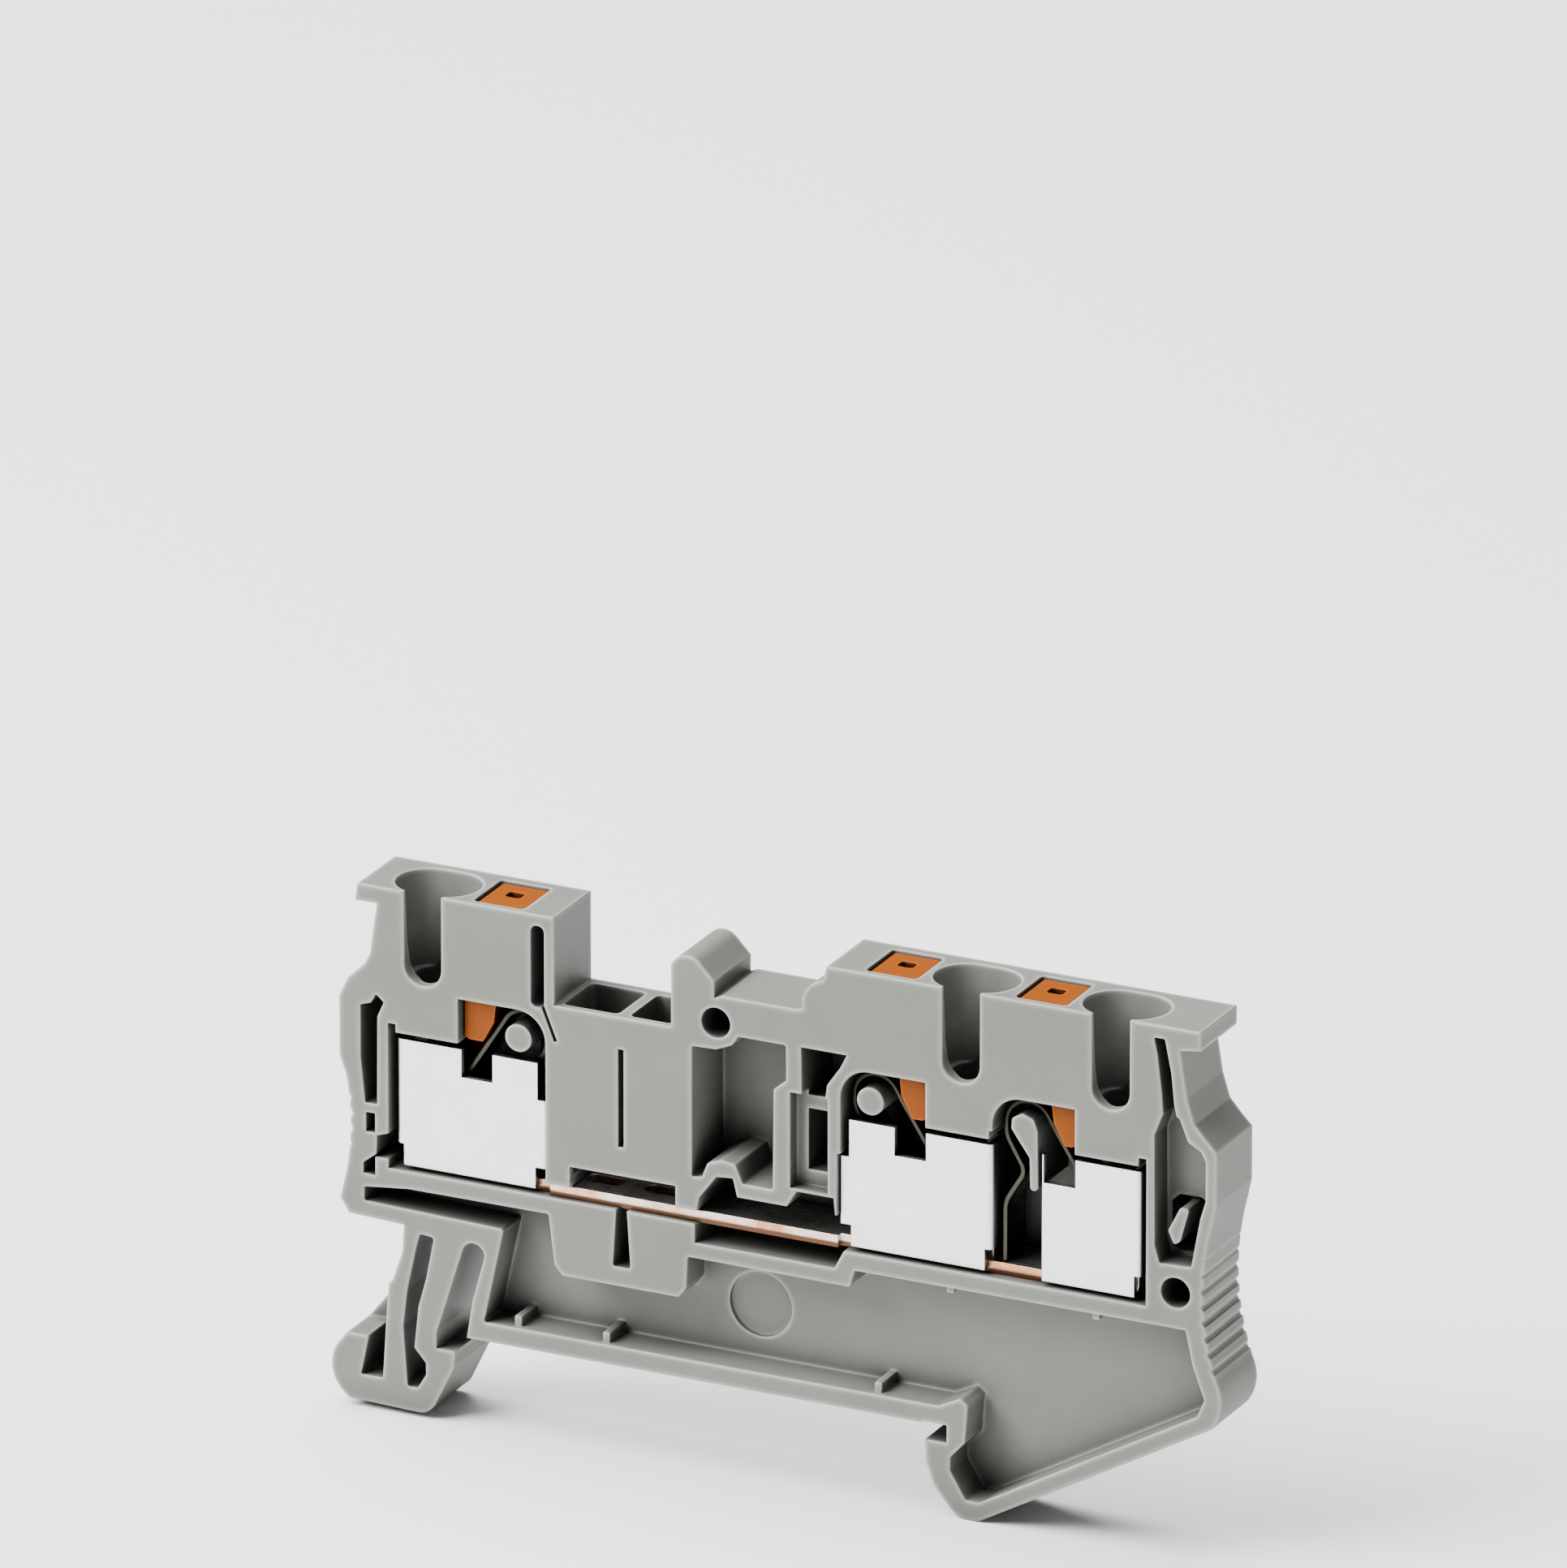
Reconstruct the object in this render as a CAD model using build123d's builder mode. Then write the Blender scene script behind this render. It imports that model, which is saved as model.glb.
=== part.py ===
from build123d import *
import math
import os

# Feed-through terminal block for a 35 mm rail: three push-in entries on one current bar.
# X runs along the block, Y through its thickness from the open side to the closed side, Z up.
# The origin is on the rail seat, midway between the rail's edges. Sizes are in millimetres.

# Housing
THICKNESS = 5.2
CLOSED_WALL = 0.7
TOP_Z = 29.0
LEFT_X = -24.2
RIGHT_X = 35.8
LIP_HEIGHT = 1.1
SEAT_WALL = 1.25
WEB_DEPTH = 2.6
WEB_WALL = 0.9
GRIP_PITCH = 1.02
GRIP_DEPTH = 0.33
GRIP_LOW_Z = 9.8
GRIP_HIGH_Z = 16.2
SLOT_DEPTH = 3.7
DRIVER_DEPTH = 3.2
DISC_RADIUS = 2.15
DISC_DEPTH = 0.35
RIB_WIDTH = 0.45
RIB_REACH = 0.65

# Rail
RAIL_WIDTH = 35.0
RAIL_FLANGE = 1.0
RAIL_GAP = 0.1
FOOT_DROP = 5.7

# Clamping unit, measured from the conductor's axis towards the spring
LEFT_ENTRY_IN = 5.8
RIGHT_ENTRY_IN = 7.15
ENTRY_PITCH = 10.15
SPRING_SIDES = {"left": 1, "middle": -1, "right": -1}
ENTRY_Y = -0.28
ENTRY_LENGTH = 5.6
ENTRY_WIDTH = 4.4
ENTRY_BORE = 3.2
ENTRY_SLOT = 2.6
ENTRY_FLOOR_Z = 22.9
ENTRY_MOUTH_DEPTH = 3.4
ENTRY_TAPER = 4.0
CAVITY_OUT = 2.45
CAVITY_IN = 8.45
CAVITY_TOP_Z = 19.55
CORNER_ROOM = 0.55
LOOP_AXIS_US = {"left": 6.5, "middle": 6.25, "right": 6.05}
LOOP_AXIS_Z = 20.55
LOOP_ROOM = 1.97
LOOP_PIN_RADIUS = 0.9
WELL_NEAR_U = 3.25
WELL_FAR_U = 6.75
WELL_FRONT = 0.5
WELL_DEPTH = 3.95
NOSE_NEAR_U = 2.4

# Bridge channel and marker groove
CHANNEL_LEFT_X = -9.35
CHANNEL_RIGHT_X = -1.28
CHANNEL_Z = 23.2
SHAFT_FRONT_WALL = 0.5
SHAFT_RIB = 0.75
GROOVE_LEFT_X = 1.95
GROOVE_TO_WELL = 4.45
GROOVE_Z = 25.8

# Locating holes in the open side (x, z and depth) and pegs on the closed side
LOCATORS = ((CHANNEL_RIGHT_X + 3.06, 24.0, 3.5), (RIGHT_X - 2.7, 11.65, 3.0))
LOCATOR_RADIUS = 1.0
PEG_GAP = 0.1
PEG_LENGTH = 1.2

# Current bar
BAR_Z = 10.4
BAR_SHEET = 0.8
BAR_WIDTH = 4.1
BAR_NARROW = 3.2
BAR_UPRIGHT_Z = 18.5
BAR_TAB_WIDTH = 2.0

# Clamp cages
CAGE_SHEET = 0.4
CAGE_WIDTH = 4.2
CAGE_OUT = 2.0
CAGE_IN = 8.3
CAGE_BOTTOM_Z = 10.7
CAGE_TOP_Z = 19.05
CAGE_SHOULDER_Z = 16.6
NOTCH_ROOM = 0.9
CAGE_STEP = 1.4
CAGE_NOTCH_NEAR_U = 2.5
CAGE_NOTCH_FAR_U = 4.65

# Clamp springs
LEAF = 0.3
LEAF_WIDTH = 2.8
LOOP_RADIUS = 1.5
LEG_ANGLE = 57.0
LEG_STAND_U = 7.6
LEG_BULGE = 1.35
LEG_BULGE_Z = 17.4

# Push buttons
BUTTON_GAP = 0.15
BUTTON_TOP_Z = 28.85
NOSE_Z = 19.7
BUTTON_TRAVEL = 1.6

OPEN_FACE = Plane.XZ.offset(THICKNESS / 2)
CLOSED_FACE = Plane.XZ.offset(-THICKNESS / 2)
CAVITY_DEPTH = THICKNESS - CLOSED_WALL
BACK_Y = THICKNESS / 2 - CLOSED_WALL
BAR_TOP_Z = BAR_Z + BAR_SHEET
CAGE_NOTCH_Z = NOSE_Z - BUTTON_TRAVEL - NOTCH_ROOM
RAIL_SIDE = RAIL_WIDTH / 2 + RAIL_GAP
ENTRY_XS = {
    "left": LEFT_X + LEFT_ENTRY_IN,
    "middle": RIGHT_X - RIGHT_ENTRY_IN - ENTRY_PITCH,
    "right": RIGHT_X - RIGHT_ENTRY_IN,
}
GROOVE_RIGHT_X = ENTRY_XS["middle"] - WELL_FAR_U - GROOVE_TO_WELL
CAGE_WALL_X = ENTRY_XS["middle"] - CAVITY_IN
POCKET_X = CHANNEL_RIGHT_X + 1.38
KEY_X = CHANNEL_LEFT_X + 4.6


def corner_radius(points, wanted):
    """The wanted corner radius, or as much of it as the sides of a closed outline can take."""
    corners = [Vector(*point) for point in points]
    reaches = []
    for index, corner in enumerate(corners):
        before = corners[index - 1] - corner
        after = corners[(index + 1) % len(corners)] - corner
        reaches.append(1 / math.tan(math.radians(before.get_angle(after)) / 2))
    radius = wanted
    for index, corner in enumerate(corners):
        side = (corners[index - 1] - corner).length
        radius = min(radius, 0.9 * side / (reaches[index - 1] + reaches[index]))
    return radius


def closed_shape(points, corner=0.0):
    """Face of a closed outline, with its corners rounded where a radius is given."""
    with BuildSketch(mode=Mode.PRIVATE) as shape:
        with BuildLine():
            Polyline(*points, close=True)
        make_face()
        if corner:
            fillet(shape.vertices(), corner_radius(points, corner))
    return shape.sketch


def box_shape(x_low, x_high, z_low, z_high):
    """Face of a plain rectangle between two places in X and two heights."""
    return closed_shape([(x_low, z_low), (x_high, z_low), (x_high, z_high), (x_low, z_high)])


def pockets(depth, *shapes):
    """Sink flat shapes into the open side of the housing."""
    with BuildSketch(OPEN_FACE) as sunk:
        for shape in shapes:
            add(shape)
    extrude(sunk.sketch, amount=-depth, mode=Mode.SUBTRACT)


def ribs(foot_y, height, *shapes):
    """Raise flat shapes towards the open side from a wall whose face is at one Y."""
    with BuildSketch(Plane.XZ.offset(-foot_y)) as raised:
        for shape in shapes:
            add(shape)
    extrude(raised.sketch, amount=height)


def along(unit, distance):
    """X of a point of a clamping unit, by its distance from the conductor towards the spring."""
    return ENTRY_XS[unit] + SPRING_SIDES[unit] * distance


def unit_points(unit, points):
    """Outline points of a clamping unit, given as distance from the conductor and height."""
    return [(along(unit, u), z) for u, z in points]


def offset_points(x, points):
    """Outline points given as a distance in X from one place, and a height."""
    return [(x + distance, z) for distance, z in points]


def spread_points(x_low, x_high, points):
    """Outline points given as a share of the way between two places in X, and a height."""
    return [(x_low + share * (x_high - x_low), z) for share, z in points]


def housing_outline():
    """Silhouette of the block with its rail feet, as one face on the open side."""
    hook_z = -RAIL_FLANGE - RAIL_GAP
    sole_z = -FOOT_DROP
    right = RAIL_SIDE
    left = -RAIL_SIDE
    lip_z = TOP_Z - LIP_HEIGHT
    tower_x = CHANNEL_RIGHT_X
    with BuildSketch(OPEN_FACE) as outline:
        with BuildLine():
            ThreePointArc(
                (LEFT_X + 0.45, GRIP_LOW_Z),
                (LEFT_X + 0.75, (GRIP_LOW_Z + GRIP_HIGH_Z) / 2),
                (LEFT_X + 0.45, GRIP_HIGH_Z),
            )
            Polyline(
                (LEFT_X + 0.45, GRIP_HIGH_Z),
                (LEFT_X, GRIP_HIGH_Z + 1.2),
                (LEFT_X, 21.4),
                (LEFT_X + 0.65, 22.7),
                (LEFT_X + 1.8, 23.8),
                (LEFT_X + 2.15, 24.5),
                (LEFT_X + 2.65, lip_z),
                (LEFT_X + 1.15, lip_z),
                (LEFT_X + 1.3, TOP_Z),
                (CHANNEL_LEFT_X, TOP_Z),
                (CHANNEL_LEFT_X, CHANNEL_Z),
                (tower_x, CHANNEL_Z),
                (tower_x, TOP_Z - 1.7),
            )
            ThreePointArc(
                (tower_x, TOP_Z - 1.7),
                (tower_x + 0.85, TOP_Z - 0.95),
                (tower_x + 1.9, TOP_Z - 1.25),
            )
            Polyline(
                (tower_x + 1.9, TOP_Z - 1.25),
                (GROOVE_LEFT_X - 0.3, GROOVE_Z + 0.9),
                (GROOVE_LEFT_X - 0.3, GROOVE_Z - 0.2),
                (GROOVE_LEFT_X + 0.2, GROOVE_Z),
                (GROOVE_RIGHT_X, GROOVE_Z),
                (GROOVE_RIGHT_X + 0.45, GROOVE_Z + 0.15),
                (GROOVE_RIGHT_X + 0.4, GROOVE_Z + 0.8),
            )
            ThreePointArc(
                (GROOVE_RIGHT_X + 0.4, GROOVE_Z + 0.8),
                (GROOVE_RIGHT_X + 0.85, GROOVE_Z + 1.7),
                (GROOVE_RIGHT_X + 1.8, GROOVE_Z + 2.2),
            )
            Polyline(
                (GROOVE_RIGHT_X + 1.8, GROOVE_Z + 2.2),
                (GROOVE_RIGHT_X + 2.05, TOP_Z),
                (RIGHT_X - 1.1, TOP_Z),
                (RIGHT_X - 1.1, lip_z - 0.1),
                (RIGHT_X - 2.5, lip_z - 0.3),
                (RIGHT_X - 2.0, 24.5),
                (RIGHT_X - 1.5, 22.9),
                (RIGHT_X - 0.7, 22.0),
                (RIGHT_X, 21.3),
                (RIGHT_X, 17.8),
                (RIGHT_X - 0.25, GRIP_HIGH_Z + 0.4),
            )
            ThreePointArc(
                (RIGHT_X - 0.25, GRIP_HIGH_Z + 0.4),
                (RIGHT_X - 0.85, 11.8),
                (RIGHT_X + 0.1, 6.2),
            )
            ThreePointArc((RIGHT_X + 0.1, 6.2), (RIGHT_X + 0.4, 4.5), (RIGHT_X - 0.2, 3.05))
            Line((RIGHT_X - 0.2, 3.05), (right + 2.3, sole_z - 0.15))
            ThreePointArc(
                (right + 2.3, sole_z - 0.15),
                (right + 1.1, sole_z - 0.2),
                (right + 0.1, sole_z + 0.5),
            )
            Polyline(
                (right + 0.1, sole_z + 0.5),
                (right - 0.9, -4.0),
                (right - 1.4, -2.6),
                (right - 1.5, hook_z),
                (right, hook_z),
                (right, RAIL_GAP),
                (right - 1.7, RAIL_GAP),
                (right - 1.7, 0.0),
                (left + 2.15, 0.0),
                (left + 2.55, 2.5),
                (left + 3.4, 5.6),
            )
            ThreePointArc((left + 3.4, 5.6), (left + 2.75, 6.4), (left + 1.85, 5.8))
            Polyline(
                (left + 1.85, 5.8),
                (left + 0.5, 1.5),
                (left, 0.0),
                (left, hook_z),
                (left + 1.3, hook_z),
                (left + 1.2, -2.2),
                (left - 0.1, sole_z + 0.8),
            )
            ThreePointArc(
                (left - 0.1, sole_z + 0.8),
                (left - 0.55, sole_z + 0.3),
                (left - 1.3, sole_z + 0.1),
            )
            Line((left - 1.3, sole_z + 0.1), (left - 6.0, sole_z + 0.25))
            ThreePointArc((left - 6.0, sole_z + 0.25), (left - 7.05, -4.3), (left - 6.6, -1.6))
            Polyline(
                (left - 6.6, -1.6),
                (left - 3.0, 3.0),
                (left - 2.3, 5.0),
                (left - 2.2, 6.8),
                (LEFT_X + 0.6, 6.95),
                (LEFT_X, 7.9),
                (LEFT_X + 0.45, GRIP_LOW_Z),
            )
        make_face()
    return outline.sketch


def grip_grooves(x, z_low, count, sway):
    """Cut a column of small round grooves where a thumb grips a side wall."""
    rows = []
    for step in range(count):
        place = 2 * step / (count - 1) - 1
        rows.append((x + sway * (1 - place * place), z_low + step * GRIP_PITCH))
    with BuildSketch(OPEN_FACE) as grooves:
        with Locations(*rows):
            RegularPolygon(GRIP_DEPTH, 6)
    extrude(grooves.sketch, amount=-THICKNESS, mode=Mode.SUBTRACT)


def clamping_cavity(unit):
    """Cut the room for a cage, its spring's loop and the nose of its button."""
    loop_u = LOOP_AXIS_US[unit]
    x_low, x_high = sorted((along(unit, -CAVITY_OUT), along(unit, CAVITY_IN)))
    upper = unit_points(unit, [
        (-CAVITY_OUT, CAGE_SHOULDER_Z - 0.5),
        (loop_u + LOOP_ROOM, CAGE_SHOULDER_Z - 0.5),
        (loop_u + LOOP_ROOM, LOOP_AXIS_Z),
        (loop_u, LOOP_AXIS_Z),
        (loop_u, LOOP_AXIS_Z + LOOP_ROOM),
        (NOSE_NEAR_U, LOOP_AXIS_Z + LOOP_ROOM),
        (NOSE_NEAR_U, CAVITY_TOP_Z),
        (-CAVITY_OUT + CORNER_ROOM, CAVITY_TOP_Z),
        (-CAVITY_OUT + CORNER_ROOM, CAVITY_TOP_Z + CORNER_ROOM),
        (-CAVITY_OUT, CAVITY_TOP_Z + CORNER_ROOM),
    ])
    with BuildSketch(mode=Mode.PRIVATE) as loop_room:
        with Locations((along(unit, loop_u), LOOP_AXIS_Z)):
            Circle(LOOP_ROOM)
    lower = box_shape(x_low, x_high, BAR_Z, CAGE_SHOULDER_Z + 0.2)
    pockets(CAVITY_DEPTH, lower, closed_shape(upper), loop_room.sketch)


def conductor_entry(unit):
    """Cut the oval funnel from the top and the slot that opens it to the open side."""
    x = ENTRY_XS[unit]
    spread = ENTRY_LENGTH - ENTRY_WIDTH
    with BuildSketch(Plane.XY.offset(TOP_Z)) as mouth:
        with Locations((x, ENTRY_Y)):
            SlotCenterToCenter(spread, ENTRY_WIDTH)
    extrude(mouth.sketch, amount=-ENTRY_MOUTH_DEPTH, taper=ENTRY_TAPER, mode=Mode.SUBTRACT)
    throat_z = TOP_Z - ENTRY_MOUTH_DEPTH
    throat_width = ENTRY_WIDTH - 2 * ENTRY_MOUTH_DEPTH * math.tan(math.radians(ENTRY_TAPER))
    throat_slope = math.degrees(math.atan2(spread / 2, throat_z - ENTRY_FLOOR_Z))
    with BuildSketch(Plane.XY.offset(throat_z)) as throat:
        with Locations((x, ENTRY_Y)):
            SlotCenterToCenter(spread, throat_width)
    extrude(throat.sketch, amount=ENTRY_FLOOR_Z - throat_z, taper=throat_slope, mode=Mode.SUBTRACT)
    with BuildSketch(Plane.XY.offset(throat_z)) as bore:
        with Locations((x, ENTRY_Y)):
            Circle(ENTRY_BORE / 2)
    extrude(bore.sketch, amount=CAVITY_TOP_Z - 0.1 - throat_z, mode=Mode.SUBTRACT)
    half = ENTRY_SLOT / 2
    with BuildSketch(OPEN_FACE) as slot:
        with BuildLine():
            Polyline(
                (x - half, ENTRY_FLOOR_Z + half),
                (x - half, TOP_Z + 1),
                (x + half, TOP_Z + 1),
                (x + half, ENTRY_FLOOR_Z + half),
            )
            ThreePointArc(
                (x + half, ENTRY_FLOOR_Z + half),
                (x, ENTRY_FLOOR_Z),
                (x - half, ENTRY_FLOOR_Z + half),
            )
        make_face()
    extrude(slot.sketch, amount=-(THICKNESS / 2 + ENTRY_Y), mode=Mode.SUBTRACT)


def button_well(unit):
    """Cut the guide of a push button from the top down to its spring."""
    middle = along(unit, (WELL_NEAR_U + WELL_FAR_U) / 2)
    y = -THICKNESS / 2 + WELL_FRONT + WELL_DEPTH / 2
    with BuildSketch(Plane.XY.offset(TOP_Z)) as well:
        with Locations((middle, y)):
            RectangleRounded(WELL_FAR_U - WELL_NEAR_U, WELL_DEPTH, 0.3)
    extrude(well.sketch, amount=-(TOP_Z - LOOP_AXIS_Z - LOOP_ROOM + 0.1), mode=Mode.SUBTRACT)


def bridge_shafts():
    """Cut the two plug-in shafts that lead from the bridge channel down to the current bar."""
    rib_x = (CHANNEL_LEFT_X + CHANNEL_RIGHT_X) / 2 + 0.55
    y_front = -THICKNESS / 2 + SHAFT_FRONT_WALL
    with BuildSketch(Plane.XY.offset(CHANNEL_Z)) as shafts:
        for x_low, x_high in (
            (CHANNEL_LEFT_X + 0.35, rib_x - SHAFT_RIB / 2),
            (rib_x + SHAFT_RIB / 2, CHANNEL_RIGHT_X - 0.2),
        ):
            with Locations(((x_low + x_high) / 2, (y_front + BACK_Y) / 2)):
                RectangleRounded(x_high - x_low, BACK_Y - y_front, 0.4)
    extrude(shafts.sketch, amount=-(CHANNEL_Z - BAR_TOP_Z - 0.8), mode=Mode.SUBTRACT)


def bar_channel_shapes():
    """Openings round the current bar between the left and the middle cage."""
    left = along("left", CAVITY_IN) - 0.3
    shelf = BAR_Z + 0.2
    step_z = BAR_TOP_Z + 1.5
    dome_z = BAR_TOP_Z + 2.6
    hump = spread_points(POCKET_X + 0.2, CAGE_WALL_X - 0.1, [
        (0.0, shelf),
        (0.03, BAR_TOP_Z + 1.0),
        (0.155, dome_z),
        (0.275, dome_z + 0.1),
        (0.305, step_z),
        (0.655, step_z),
        (0.725, dome_z),
        (0.99, dome_z),
        (1.0, step_z),
    ])
    hump += offset_points(CAGE_WALL_X, [(0.7, step_z - 0.2), (0.7, shelf)])
    under_bar = [
        (POCKET_X + 0.2, BAR_Z - 1.25),
        (CAGE_WALL_X - 0.15, BAR_Z - 1.25),
        (CAGE_WALL_X + 0.6, shelf),
        (POCKET_X + 0.2, shelf),
    ]
    return [
        box_shape(left, CAGE_WALL_X + 0.3, BAR_Z, BAR_TOP_Z + 0.1),
        box_shape(left + 1.95, CHANNEL_RIGHT_X + 0.28, shelf, step_z),
        closed_shape(hump),
        closed_shape(under_bar),
    ]


def core_pocket_shapes():
    """Cored-out pockets beside the bridge shafts and above the middle cage."""
    beside_shaft = spread_points(POCKET_X, CAGE_WALL_X - 3.45, [
        (0.0, 13.5),
        (0.11, 13.6),
        (0.17, 14.6),
        (0.31, 14.95),
        (0.46, 14.8),
        (0.54, 13.6),
        (0.86, 13.6),
        (0.87, 20.3),
        (1.0, 21.0),
        (1.0, 23.35),
        (0.49, 23.35),
        (0.43, 22.7),
        (0.26, 22.25),
        (0.0, 22.2),
    ])
    above_cage = offset_points(CAGE_WALL_X, [
        (-2.45, 23.4),
        (-2.4, 19.95),
        (-0.8, 19.95),
        (-0.65, 21.2),
        (0.25, 22.5),
        (0.7, 23.4),
    ])
    in_side_wall = offset_points(RIGHT_X, [
        (-3.85, 16.9),
        (-3.8, 13.9),
        (-3.2, 13.7),
        (-1.85, 13.7),
        (-1.35, 17.0),
        (-1.8, 17.4),
        (-3.3, 17.4),
    ])
    return [
        closed_shape(beside_shaft, 0.15),
        closed_shape(above_cage),
        box_shape(CAGE_WALL_X - 2.4, CAGE_WALL_X - 0.75, 15.0, 19.05),
        closed_shape(in_side_wall),
    ]


def side_slot_shapes():
    """Narrow slots that thin the side walls and the left tower."""
    left_slot = offset_points(LEFT_X, [
        (1.45, 21.0),
        (2.2, 21.25),
        (2.55, 21.9),
        (3.1, 21.4),
        (2.65, 20.4),
        (2.6, 14.5),
        (1.75, 14.5),
        (1.45, 17.5),
    ])
    left_step = offset_points(LEFT_X, [
        (1.6, 9.8),
        (2.45, 9.75),
        (2.45, 11.0),
        (3.9, 11.0),
        (3.9, 12.9),
        (2.55, 12.45),
        (2.5, 11.2),
        (1.6, 10.5),
    ])
    right_slot = offset_points(RIGHT_X, [
        (-4.25, 28.2),
        (-4.0, 27.0),
        (-3.7, 24.5),
        (-3.6, 22.9),
        (-2.6, 22.9),
        (-2.85, 24.0),
        (-3.05, 26.0),
        (-3.5, 28.2),
    ])
    tower_slot = offset_points(CHANNEL_LEFT_X, [
        (-1.6, 22.9),
        (-0.65, 22.9),
        (-0.65, 28.3),
        (-1.6, 28.3),
    ])
    return [
        closed_shape(left_slot, 0.12),
        closed_shape(left_step),
        closed_shape(right_slot, 0.1),
        box_shape(LEFT_X + 1.8, LEFT_X + 2.45, 12.6, 13.9),
        closed_shape(tower_slot, 0.42),
    ]


def shallow_shapes():
    """Steps that lie just below the open side, in three depths."""
    right_step = offset_points(RIGHT_X, [
        (-3.65, 23.2),
        (-4.2, 21.8),
        (-4.15, 14.5),
        (-3.8, 13.4),
        (-1.65, 13.5),
        (-1.05, 16.8),
        (-0.7, 18.0),
        (-0.7, 20.6),
        (-1.0, 21.2),
        (-1.9, 21.7),
        (-2.5, 23.2),
    ])
    key_slot = offset_points(KEY_X, [
        (-0.35, BAR_Z + 0.1),
        (-0.6, 6.6),
        (0.65, 6.6),
        (0.4, BAR_Z + 0.1),
    ])
    hairline = offset_points(CHANNEL_LEFT_X, [
        (-1.0, 23.3),
        (-0.75, 23.3),
        (0.25, 20.85),
        (0.0, 20.8),
    ])
    pockets(1.9, closed_shape(right_step, 0.15))
    pockets(2.4, closed_shape(key_slot, 0.2))
    pockets(
        1.0,
        box_shape(CAGE_WALL_X - 3.2, CAGE_WALL_X - 0.6, 13.95, 20.3),
        box_shape(KEY_X - 0.2, KEY_X + 0.2, 14.6, 21.1),
        closed_shape(hairline),
    )


def web_recesses():
    """Thin the lower part to a web from both sides, between a seat wall and a slanted wall."""
    front = [
        (-RAIL_SIDE + 3.3, SEAT_WALL),
        (-RAIL_SIDE + 4.7, 7.7),
        (LEFT_X + 1.65, 7.95),
        (LEFT_X + 1.65, 8.9),
        (LEFT_X + 4.7, 9.25),
    ]
    front += offset_points(CHANNEL_LEFT_X, [(-0.4, 9.3), (0.0, 6.0), (0.55, 5.35)])
    front += offset_points(CHANNEL_RIGHT_X, [(0.48, 5.35), (0.98, 6.0), (1.08, 8.15)])
    front += offset_points(CAGE_WALL_X, [(0.9, 8.1), (1.2, 9.25)])
    front += offset_points(RIGHT_X, [(-2.0, 9.3), (-1.5, 7.0), (-0.7, 4.9), (-1.2, 3.7)])
    front += offset_points(RAIL_SIDE, [
        (2.2, -4.7),
        (1.3, -4.7),
        (0.2, -2.9),
        (0.2, -2.0),
        (1.2, -0.9),
        (1.4, 1.6),
        (0.9, 2.0),
        (-0.6, SEAT_WALL),
    ])
    pockets(WEB_DEPTH, closed_shape(front, 0.15))
    with BuildSketch(OPEN_FACE.offset(-WEB_DEPTH)) as disc:
        with Locations((POCKET_X + 3.5, 4.7)):
            Circle(DISC_RADIUS)
    extrude(disc.sketch, amount=-DISC_DEPTH, mode=Mode.SUBTRACT)
    rear_foot_z = SEAT_WALL + 0.6
    rear = offset_points(-RAIL_SIDE, [(5.2, rear_foot_z), (5.7, 6.6), (7.0, 8.0)])
    rear += offset_points(RIGHT_X, [(-3.2, 8.0), (-2.0, 4.6)])
    rear += offset_points(RAIL_SIDE, [(3.4, -2.7), (2.6, -2.6), (2.6, rear_foot_z)])
    with BuildSketch(CLOSED_FACE) as rear_recess:
        add(closed_shape(rear, 0.4))
    extrude(rear_recess.sketch, amount=THICKNESS - WEB_DEPTH - WEB_WALL, mode=Mode.SUBTRACT)


def foot_slots():
    """Cut the slots that make the left foot a springy ring, and its screwdriver pocket."""
    spring_slot = offset_points(-RAIL_SIDE, [
        (-1.1, 6.4),
        (-0.1, 6.3),
        (-0.65, 3.5),
        (-1.2, 1.5),
        (-1.5, -1.3),
        (-0.7, -2.2),
        (-0.7, -3.0),
        (-1.3, -4.0),
        (-2.0, -4.0),
        (-2.3, 0.0),
        (-2.0, 2.5),
        (-1.35, 5.5),
    ])
    driver_pocket = offset_points(-RAIL_SIDE, [
        (-3.2, 3.3),
        (-3.4, 1.0),
        (-3.7, -3.75),
        (-5.25, -3.75),
        (-4.7, -1.1),
        (-6.8, -1.1),
        (-7.9, 0.3),
        (-4.4, 4.2),
    ])
    pockets(THICKNESS, closed_shape(spring_slot, 0.2))
    pockets(DRIVER_DEPTH, closed_shape(driver_pocket, 0.1))


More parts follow.
